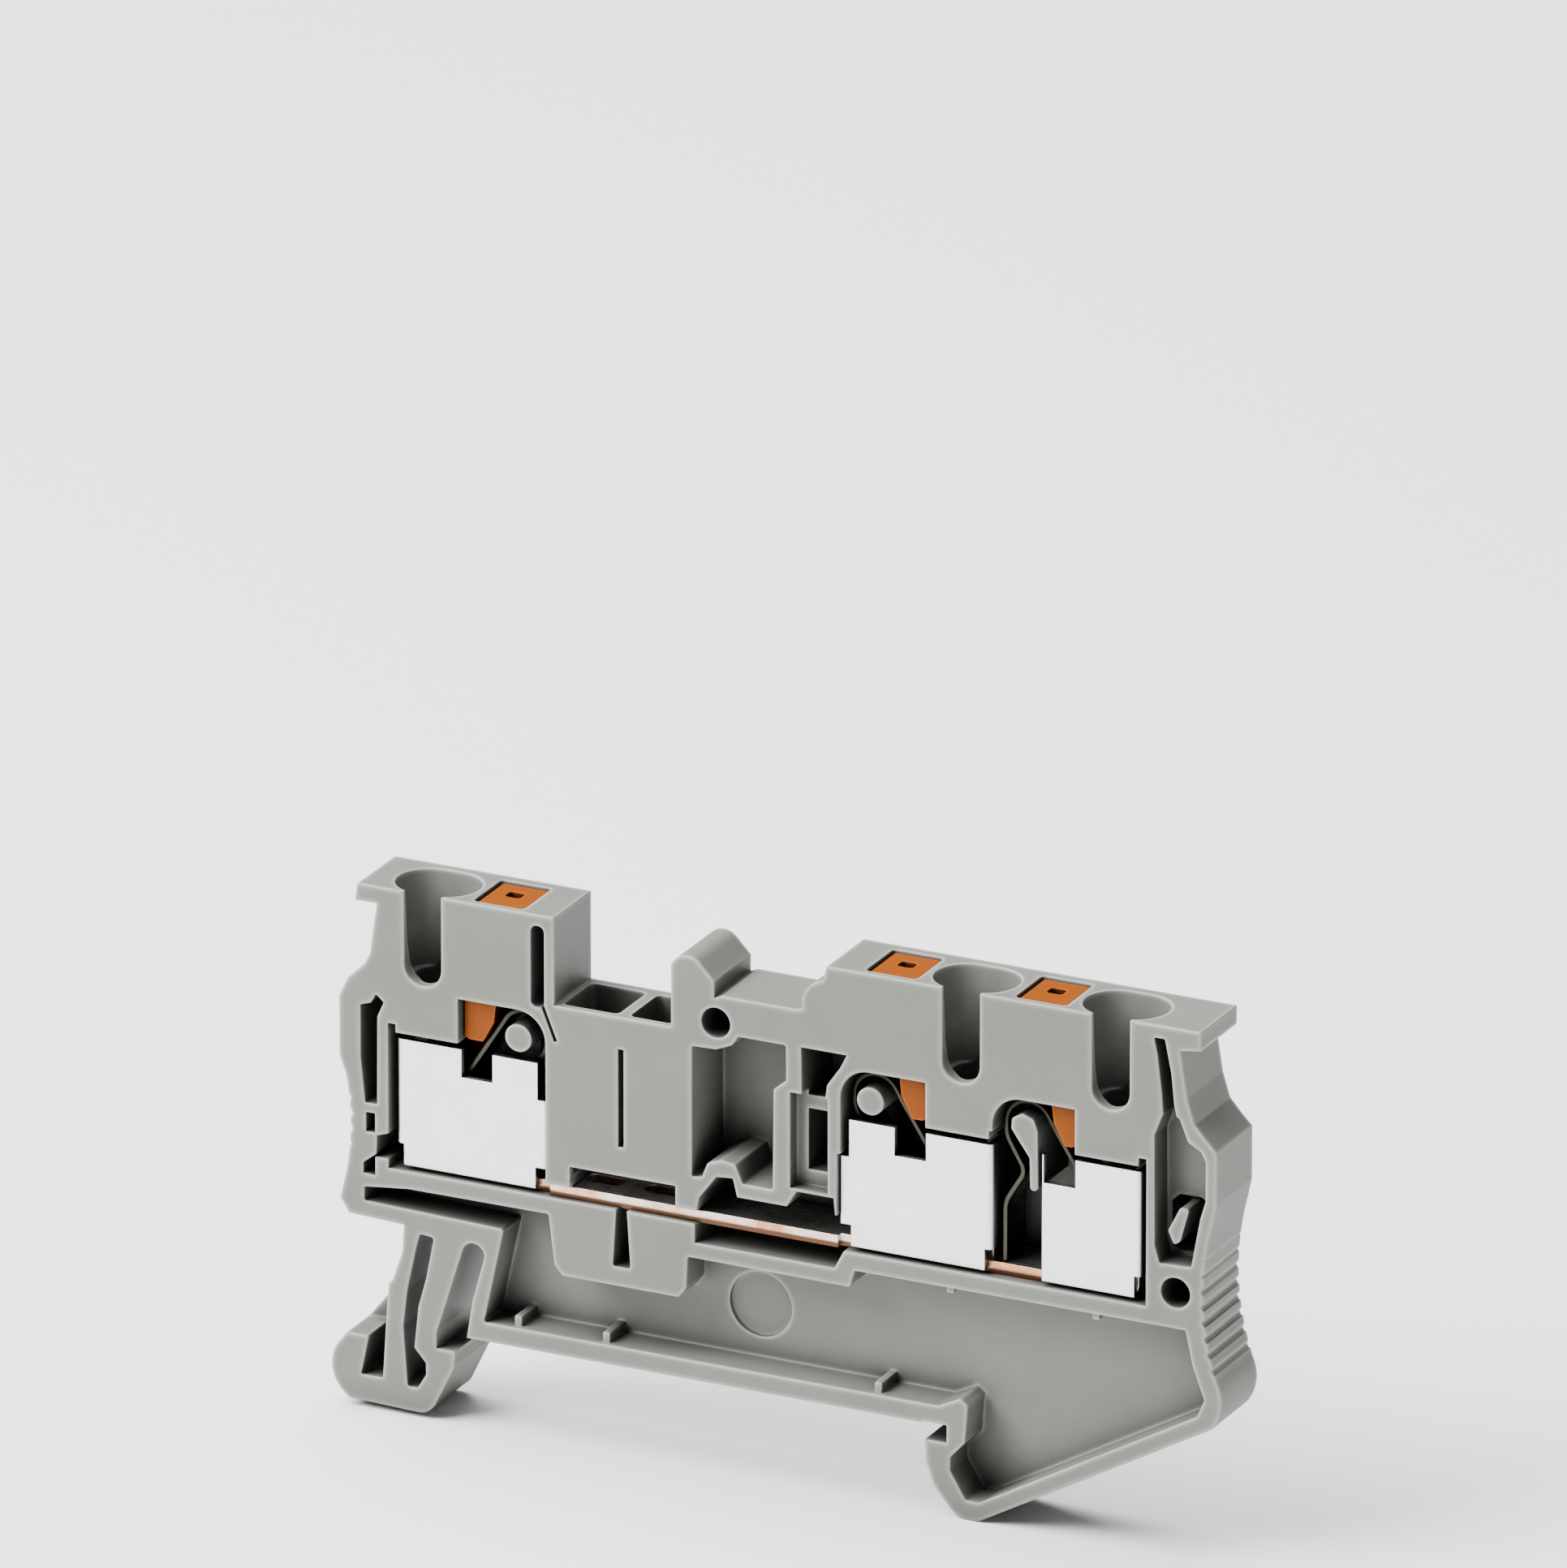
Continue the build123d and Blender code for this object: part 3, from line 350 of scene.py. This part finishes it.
def moulded_polyamide(name, look):
    """Glass-filled polyamide from a spark-eroded mould: dull grained skin, with painted highlight on
    rims and edges and painted shade in recesses.
    """
    material, tree, shader = new_material(name)
    place = add_node(tree, "ShaderNodeTexCoord")
    # Slow flow marks a few millimetres wide keep the broad faces from looking flat.
    flow = add_node(
        tree, "ShaderNodeTexNoise", {"Scale": 1 / (6 * MM), "Detail": 4.0, "Roughness": 0.6},
        {"Vector": place.outputs["Object"]},
    )
    # The mould's grain gives the skin its dull sparkle. It is drawn coarser than the real grain, so
    # that it shows.
    skin = add_node(
        tree, "ShaderNodeTexNoise", {"Scale": 1 / look.grain, "Detail": 2.0, "Roughness": 0.6},
        {"Vector": place.outputs["Object"]},
    )
    # Painted highlight: rims and narrow walls are painted a little paler than the broad faces.
    broad = add_node(tree, "ShaderNodeBevel", {"samples": NODE_SAMPLES, "Radius": look.rim_highlight_width})
    rim = nearness(tree, broad, least=0.93)
    rim_highlighted = add_node(
        tree, "ShaderNodeMix", {"data_type": "RGBA", 6: look.face_colour, 7: look.rim_highlight_colour},
        {0: rim.outputs["Result"]},
    )
    # Painted highlight: the edges are painted palest.
    rounded = add_node(tree, "ShaderNodeBevel", {"samples": NODE_SAMPLES, "Radius": look.edge_width})
    edge = nearness(tree, rounded, least=0.9)
    highlit = add_node(
        tree, "ShaderNodeMix", {"data_type": "RGBA", 7: look.edge_highlight_colour},
        {0: edge.outputs["Result"], 6: rim_highlighted.outputs[2]},
    )
    # Painted shade: narrow recesses are darkened in the colour, as shade falls between close walls.
    unshaded = unshaded_share(tree, reach=4.5 * MM, closed=0.18, opened=0.8)
    base = add_node(
        tree, "ShaderNodeMix", {"data_type": "RGBA", 6: look.recess_shade_colour},
        {0: unshaded.outputs["Result"], 7: highlit.outputs[2]},
    )
    tone = add_node(
        tree, "ShaderNodeMapRange", {**NOISE_RANGE, "To Min": 0.93, "To Max": 1.06},
        {"Value": flow.outputs["Fac"]},
    )
    toned = add_node(
        tree, "ShaderNodeVectorMath", {"operation": "SCALE"},
        {0: base.outputs[2], "Scale": tone.outputs["Result"]},
    )
    tree.links.new(toned.outputs["Vector"], shader.inputs["Base Color"])
    dull = add_node(
        tree, "ShaderNodeMapRange",
        {**NOISE_RANGE, "To Min": look.roughness - 0.06, "To Max": look.roughness + 0.08},
        {"Value": skin.outputs["Fac"]},
    )
    tree.links.new(dull.outputs["Result"], shader.inputs["Roughness"])
    bump = add_node(
        tree, "ShaderNodeBump", {"Strength": 0.16, "Distance": 0.02 * MM},
        {"Height": skin.outputs["Fac"], "Normal": rounded.outputs["Normal"]},
    )
    tree.links.new(bump.outputs["Normal"], shader.inputs["Normal"])
    shader.inputs["IOR"].default_value = 1.53
    shader.inputs["Specular IOR Level"].default_value = look.sheen
    return material


def rolled_sheet(name, colour, look, roughness, stretch):
    """Rolled metal strip: fine lines along the strip, slow clouds in its plating, and painted shade
    where close walls surround it.
    """
    material, tree, shader = new_material(name)
    place = add_node(tree, "ShaderNodeTexCoord")
    # Rolling drags the surface into lines, so the noise is stretched one way. The lines are drawn
    # coarser than the real ones, so that they show.
    drawn = add_node(tree, "ShaderNodeMapping", {"Scale": stretch}, {"Vector": place.outputs["Object"]})
    streaks = add_node(
        tree, "ShaderNodeTexNoise", {"Scale": 1 / look.rolling_lines, "Detail": 3.0, "Roughness": 0.6},
        {"Vector": drawn.outputs["Vector"]},
    )
    # The bath leaves the plating slightly uneven over a few millimetres.
    clouds = add_node(
        tree, "ShaderNodeTexNoise", {"Scale": 1 / (2.5 * MM), "Detail": 4.0, "Roughness": 0.65},
        {"Vector": place.outputs["Object"]},
    )
    tone = add_node(
        tree, "ShaderNodeMapRange", {**NOISE_RANGE, "To Min": 0.91, "To Max": 1.02},
        {"Value": clouds.outputs["Fac"]},
    )
    # Painted shade: where close walls surround the sheet, as inside the clamp, its colour is darkened
    # nearly to black.
    unshaded = unshaded_share(tree, reach=5 * MM, closed=0.35, opened=0.88)
    painted_darkening = add_node(
        tree, "ShaderNodeMapRange", {"To Min": 0.04},
        {"Value": unshaded.outputs["Result"], "To Max": tone.outputs["Result"]},
    )
    shade = add_node(
        tree, "ShaderNodeVectorMath", {"operation": "SCALE", 0: colour[:3]},
        {"Scale": painted_darkening.outputs["Result"]},
    )
    tree.links.new(shade.outputs["Vector"], shader.inputs["Base Color"])
    dull = add_node(
        tree, "ShaderNodeMapRange",
        {**NOISE_RANGE, "To Min": roughness - 0.07, "To Max": roughness + 0.07},
        {"Value": streaks.outputs["Fac"]},
    )
    tree.links.new(dull.outputs["Result"], shader.inputs["Roughness"])
    # The press rolls the sheet's edges over, so that they catch the light.
    rounded = add_node(tree, "ShaderNodeBevel", {"samples": NODE_SAMPLES, "Radius": look.edge_width})
    bump = add_node(
        tree, "ShaderNodeBump", {"Strength": 0.12, "Distance": 0.01 * MM},
        {"Height": streaks.outputs["Fac"], "Normal": rounded.outputs["Normal"]},
    )
    tree.links.new(bump.outputs["Normal"], shader.inputs["Normal"])
    shader.inputs["Metallic"].default_value = 1.0
    return material


def plated_copper(name, look):
    """Tin-plated copper strip: grey-white faces, and bare copper where the press sheared its edges,
    with painted highlight and painted shade on those edges.
    """
    material, tree, shader = new_material(name)
    place = add_node(tree, "ShaderNodeTexCoord")
    # The sheared edges are the faces that look out of the open side, and their opposites.
    apart = add_node(tree, "ShaderNodeSeparateXYZ", links={0: place.outputs["Normal"]})
    sideways = add_node(tree, "ShaderNodeMath", {"operation": "ABSOLUTE"}, {0: apart.outputs["Y"]})
    sheared = add_node(
        tree, "ShaderNodeMapRange", {"From Min": 0.6, "From Max": 0.8}, {"Value": sideways.outputs[0]}
    )
    # Painted highlight: pale stretches along the shear, mixed by noise with the bare copper.
    highlight_noise = add_node(
        tree, "ShaderNodeTexNoise", {"Scale": 1 / (2.5 * MM), "Detail": 4.0, "Roughness": 0.6},
        {"Vector": place.outputs["Object"]},
    )
    bared = add_node(
        tree, "ShaderNodeMapRange", {"From Min": 0.38, "From Max": 0.62},
        {"Value": highlight_noise.outputs["Fac"]},
    )
    highlighted = add_node(
        tree, "ShaderNodeMix", {"data_type": "RGBA", 6: look.cut_edge_highlight_colour, 7: look.copper_colour},
        {0: bared.outputs["Result"]},
    )
    # Painted shade: the lower part of each sheared edge is painted darker, and the upper part keeps its
    # pale and copper colours.
    level = add_node(tree, "ShaderNodeSeparateXYZ", links={0: place.outputs["Object"]})
    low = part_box("current_bar")[0][2]
    lower_edge_shade = add_node(
        tree, "ShaderNodeMapRange", {"From Min": low + UNSHADED_EDGE_ABOVE, "From Max": low + SHADED_EDGE_BELOW},
        {"Value": level.outputs["Z"]},
    )
    cut = add_node(
        tree, "ShaderNodeMix", {"data_type": "RGBA", 7: look.lower_edge_shade_colour},
        {0: lower_edge_shade.outputs["Result"], 6: highlighted.outputs[2]},
    )
    # Lines along the strip come from rolling, and are drawn coarser than the real ones too.
    drawn = add_node(
        tree, "ShaderNodeMapping", {"Scale": (0.12, 1.0, 1.0)}, {"Vector": place.outputs["Object"]}
    )
    streaks = add_node(
        tree, "ShaderNodeTexNoise", {"Scale": 1 / look.rolling_lines, "Detail": 3.0},
        {"Vector": drawn.outputs["Vector"]},
    )
    dulled = add_node(
        tree, "ShaderNodeMapRange", {"From Min": 0.3, "From Max": 0.75},
        {"Value": streaks.outputs["Fac"]},
    )
    plating = add_node(
        tree, "ShaderNodeMix", {"data_type": "RGBA", 6: look.tin_colour, 7: look.dull_tin_colour},
        {0: dulled.outputs["Result"]},
    )
    colour = add_node(
        tree, "ShaderNodeMix", {"data_type": "RGBA"},
        {0: sheared.outputs["Result"], 6: plating.outputs[2], 7: cut.outputs[2]},
    )
    tree.links.new(colour.outputs[2], shader.inputs["Base Color"])
    dull = add_node(
        tree, "ShaderNodeMapRange", {**NOISE_RANGE, "To Min": 0.25, "To Max": 0.42},
        {"Value": streaks.outputs["Fac"]},
    )
    tree.links.new(dull.outputs["Result"], shader.inputs["Roughness"])
    rounded = add_node(tree, "ShaderNodeBevel", {"samples": NODE_SAMPLES, "Radius": look.edge_width})
    bump = add_node(
        tree, "ShaderNodeBump", {"Strength": 0.2, "Distance": 0.02 * MM},
        {"Height": streaks.outputs["Fac"], "Normal": rounded.outputs["Normal"]},
    )
    tree.links.new(bump.outputs["Normal"], shader.inputs["Normal"])
    shader.inputs["Metallic"].default_value = 1.0
    return material


def studio_paper(name, colour):
    """Matt paper sweep under the block: pale, with the faintest tooth."""
    material, tree, shader = new_material(name)
    place = add_node(tree, "ShaderNodeTexCoord")
    tooth = add_node(
        tree, "ShaderNodeTexNoise", {"Scale": 1 / (1.5 * MM), "Detail": 2.0},
        {"Vector": place.outputs["Object"]},
    )
    bump = add_node(
        tree, "ShaderNodeBump", {"Strength": 0.03, "Distance": 0.05 * MM},
        {"Height": tooth.outputs["Fac"]},
    )
    tree.links.new(bump.outputs["Normal"], shader.inputs["Normal"])
    shader.inputs["Base Color"].default_value = colour
    shader.inputs["Roughness"].default_value = 0.9
    return material


def dress(node, material):
    """Give a CAD node's surface its real finish."""
    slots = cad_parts[node].material_slots
    if not slots:
        raise ValueError(node + " has no material slot")
    for slot in slots:
        slot.material = material


def select_nothing():
    """Leave object mode with nothing selected and nothing active."""
    if bpy.context.object and bpy.context.object.mode != "OBJECT":
        bpy.ops.object.mode_set(mode="OBJECT")
    bpy.ops.object.select_all(action="DESELECT")
    bpy.context.view_layer.objects.active = None


def keep_selected(test):
    """In edit mode, select only the edges for whose middle the test holds."""
    mesh = bmesh.from_edit_mesh(bpy.context.edit_object.data)
    for face in mesh.faces:
        face.select = False
    for edge in mesh.edges:
        edge.select = False
    for vertex in mesh.verts:
        vertex.select = False
    for edge in mesh.edges:
        if test((edge.verts[0].co + edge.verts[1].co) / 2):
            edge.select = True
    mesh.select_flush(True)
    bmesh.update_edit_mesh(bpy.context.edit_object.data)


class BLOCK_OT_housing(bpy.types.Operator):
    """Give the moulding its grey polyamide skin"""

    bl_idname = "block.housing"
    bl_label = "Housing"

    def execute(self, context):
        dress("housing", moulded_polyamide("moulded_grey_polyamide", context.scene.block_housing))
        return {"FINISHED"}


class BLOCK_OT_buttons(bpy.types.Operator):
    """Give the push buttons their orange skin"""

    bl_idname = "block.buttons"
    bl_label = "Push buttons"

    def execute(self, context):
        skin = moulded_polyamide("moulded_orange_polyamide", context.scene.block_buttons)
        for unit in UNITS:
            dress(unit + "_push_button", skin)
        return {"FINISHED"}


class BLOCK_OT_cages(bpy.types.Operator):
    """Give the clamp cages their bright plating"""

    bl_idname = "block.cages"
    bl_label = "Clamp cages"

    def execute(self, context):
        look = context.scene.block_metals
        plated = rolled_sheet(
            "bright_plated_steel", look.cage_colour, look, roughness=0.5, stretch=(0.08, 1.0, 1.0)
        )
        for unit in UNITS:
            dress(unit + "_clamp_cage", plated)
        return {"FINISHED"}


class BLOCK_OT_current_bar(bpy.types.Operator):
    """Give the current bar its tin faces and copper shear"""

    bl_idname = "block.current_bar"
    bl_label = "Current bar"

    def execute(self, context):
        dress("current_bar", plated_copper("tin_plated_copper", context.scene.block_metals))
        return {"FINISHED"}


class BLOCK_OT_springs(bpy.types.Operator):
    """Bend the three leaf springs from strip"""

    bl_idname = "block.springs"
    bl_label = "Clamp springs"

    def execute(self, context):
        sizes = context.scene.block_springs
        look = context.scene.block_metals
        steel = rolled_sheet(
            "hardened_spring_steel", look.spring_colour, look, roughness=0.34, stretch=(1.0, 0.08, 1.0)
        )
        for unit in UNITS:
            spring = bend_spring(unit, sizes)
            spring.data.materials.append(steel)
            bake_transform(spring)
            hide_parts(unit + "_clamp_spring")
        return {"FINISHED"}


class BLOCK_OT_stage(bpy.types.Operator):
    """Lay the floor, hang the soft lights and place the camera"""

    bl_idname = "block.stage"
    bl_label = "Stage"

    def execute(self, context):
        stage = context.scene.block_stage
        select_nothing()
        lowest = CAD_BOX[0][2]
        bpy.ops.mesh.primitive_plane_add(size=FLOOR_SIDE, location=(0.0, 0.0, lowest))
        floor = context.object
        floor.name = "studio_floor"
        floor.data.materials.append(studio_paper("matt_studio_paper", stage.floor_colour))
        for light, (place, side) in SOFT_LIGHTS.items():
            soft_light(light + "_softbox", place, side, getattr(stage, light + "_power"))
        world = bpy.data.worlds.new("pale_room")
        context.scene.world = world
        world.use_nodes = True
        room = world.node_tree.nodes["Background"]
        room.inputs["Color"].default_value = stage.room_colour
        room.inputs["Strength"].default_value = stage.room_strength
        place_camera(stage)
        return {"FINISHED"}


def soft_light(name, place, side, power):
    """Square soft light that faces the middle of the block."""
    bpy.ops.object.light_add(type="AREA", location=BLOCK_MIDDLE + place)
    lamp = bpy.context.object
    lamp.name = name
    lamp.data.size = side
    lamp.data.energy = power
    lamp.rotation_mode = "QUATERNION"
    lamp.rotation_quaternion = (-place).to_track_quat("-Z", "Y")


def place_camera(stage):
    """Long lens in the direction from which the block is seen."""
    turn, rise = stage.azimuth, stage.elevation
    back = Vector((math.sin(turn) * math.cos(rise), -math.cos(turn) * math.cos(rise), math.sin(rise)))
    bpy.ops.object.camera_add(location=Vector(stage.aim) + back * stage.distance)
    camera = bpy.context.object
    camera.name = "studio_camera"
    camera.data.lens = stage.lens
    camera.data.sensor_width = SENSOR_WIDTH
    camera.data.clip_start = NEAREST_SEEN
    camera.rotation_mode = "QUATERNION"
    camera.rotation_quaternion = (-back).to_track_quat("-Z", "Y")
    bpy.context.scene.camera = camera


def bend_spring(unit, sizes):
    """One leaf spring: standing leg, bulge, loop and clamping leg, bent from a flat strip."""
    side = SPRING_SIDES[unit]
    low, high = (Vector(corner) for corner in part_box(unit + "_clamp_spring"))
    middle_y = (high.y + low.y) / 2
    half = sizes.leaf / 2
    leg_x = LEG_XS[unit]
    loop_x = LOOP_XS[unit]
    side_x = loop_x + side * sizes.loop_radius
    select_nothing()
    bpy.ops.mesh.primitive_plane_add(size=1.0, location=(0.0, 0.0, 0.0))
    spring = bpy.context.object
    spring.name = unit + "_leaf_spring"
    bpy.ops.object.mode_set(mode="EDIT")
    mesh = bmesh.from_edit_mesh(spring.data)
    for vertex in mesh.verts:
        y = middle_y + vertex.co.y * (high.y - low.y)
        z = low.z if vertex.co.x < 0 else sizes.knee_height
        vertex.co = Vector((leg_x, y, z))
    bmesh.update_edit_mesh(spring.data)
    bpy.ops.mesh.select_mode(type="EDGE")
    knee = Vector((leg_x, middle_y, sizes.knee_height))
    stops = [
        Vector((leg_x - side * sizes.bulge, middle_y, sizes.bulge_height)),
        Vector((side_x, middle_y, sizes.loop_height - LOOP_RUN_IN)),
        Vector((side_x, middle_y, sizes.loop_height)),
    ]
    last = knee
    for stop in stops:
        keep_selected(lambda point: (point - last).length < TOUCH)
        bpy.ops.mesh.extrude_region_move(TRANSFORM_OT_translate={"value": stop - last})
        last = stop
    keep_selected(lambda point: (point - last).length < TOUCH)
    bpy.ops.mesh.spin(
        steps=sizes.loop_steps, angle=math.pi / 2 + sizes.leg_angle, center=(loop_x, middle_y, last.z),
        axis=(0.0, side, 0.0), dupli=False,
    )
    lean = Vector((-side * math.sin(sizes.leg_angle), 0.0, math.cos(sizes.leg_angle)))
    last = Vector((loop_x, middle_y, sizes.loop_height)) + lean * sizes.loop_radius
    tip_x = high.x if side < 0 else low.x
    reach = abs(tip_x - last.x) - half * math.sin(sizes.leg_angle)
    run = reach / math.cos(sizes.leg_angle)
    slope = Vector((-side * math.cos(sizes.leg_angle), 0.0, -math.sin(sizes.leg_angle)))
    step = slope * run / LEG_PIECES
    for _ in range(LEG_PIECES):
        keep_selected(lambda point: (point - last).length < LOOP_TOUCH)
        bpy.ops.mesh.extrude_region_move(TRANSFORM_OT_translate={"value": step})
        last = last + step
    bends = [knee, stops[0], stops[1]]
    keep_selected(lambda point: min((point - bend).length for bend in bends) < TOUCH)
    bpy.ops.mesh.bevel(offset=BEND_ROUNDING, segments=BEND_STEPS, affect="EDGES")
    bpy.ops.mesh.select_all(action="SELECT")
    bpy.ops.mesh.normals_make_consistent(inside=False)
    bpy.ops.object.mode_set(mode="OBJECT")
    thick = spring.modifiers.new("strip_thickness", "SOLIDIFY")
    thick.thickness = sizes.leaf
    thick.offset = 0.0
    bpy.ops.object.modifier_apply(modifier=thick.name)
    edges = spring.modifiers.new("rolled_edges", "BEVEL")
    edges.width = ROLLED_EDGE
    edges.segments = ROLLED_STEPS
    edges.angle_limit = ROLLED_ANGLE
    bpy.ops.object.modifier_apply(modifier=edges.name)
    bpy.ops.object.shade_smooth_by_angle(angle=SMOOTH_ANGLE)
    return spring


class BLOCK_PT_sidebar(bpy.types.Panel):
    """Lists the pieces of the terminal block and their settings"""

    bl_label = "Terminal Block"
    bl_idname = "BLOCK_PT_sidebar"
    bl_space_type = "VIEW_3D"
    bl_region_type = "UI"
    bl_category = "Terminal Block"

    def draw(self, context):
        for operator in OPERATORS:
            self.layout.operator(operator.bl_idname)
        for group in SETTINGS:
            settings = getattr(context.scene, group)
            column = self.layout.box().column()
            for name in settings.bl_rna.properties.keys():
                if name not in {"rna_type", "name"}:
                    column.prop(settings, name)


OPERATORS = (
    BLOCK_OT_housing,
    BLOCK_OT_buttons,
    BLOCK_OT_cages,
    BLOCK_OT_current_bar,
    BLOCK_OT_springs,
    BLOCK_OT_stage,
)


def register():
    """Make the settings, operators and panel known to Blender."""
    for name, settings in SETTINGS.items():
        bpy.utils.register_class(settings)
        setattr(bpy.types.Scene, name, PointerProperty(type=settings))
    for operator in OPERATORS:
        bpy.utils.register_class(operator)
    bpy.utils.register_class(BLOCK_PT_sidebar)


def unregister():
    """Take the panel, operators and settings away again."""
    bpy.utils.unregister_class(BLOCK_PT_sidebar)
    for operator in reversed(OPERATORS):
        bpy.utils.unregister_class(operator)
    for name, settings in SETTINGS.items():
        delattr(bpy.types.Scene, name)
        bpy.utils.unregister_class(settings)


def main():
    """Dress the block and set the stage."""
    register()
    bpy.ops.block.housing()
    bpy.ops.block.buttons()
    bpy.ops.block.cages()
    bpy.ops.block.current_bar()
    bpy.ops.block.springs()
    bpy.ops.block.stage()


if __name__ == "__main__":
    main()
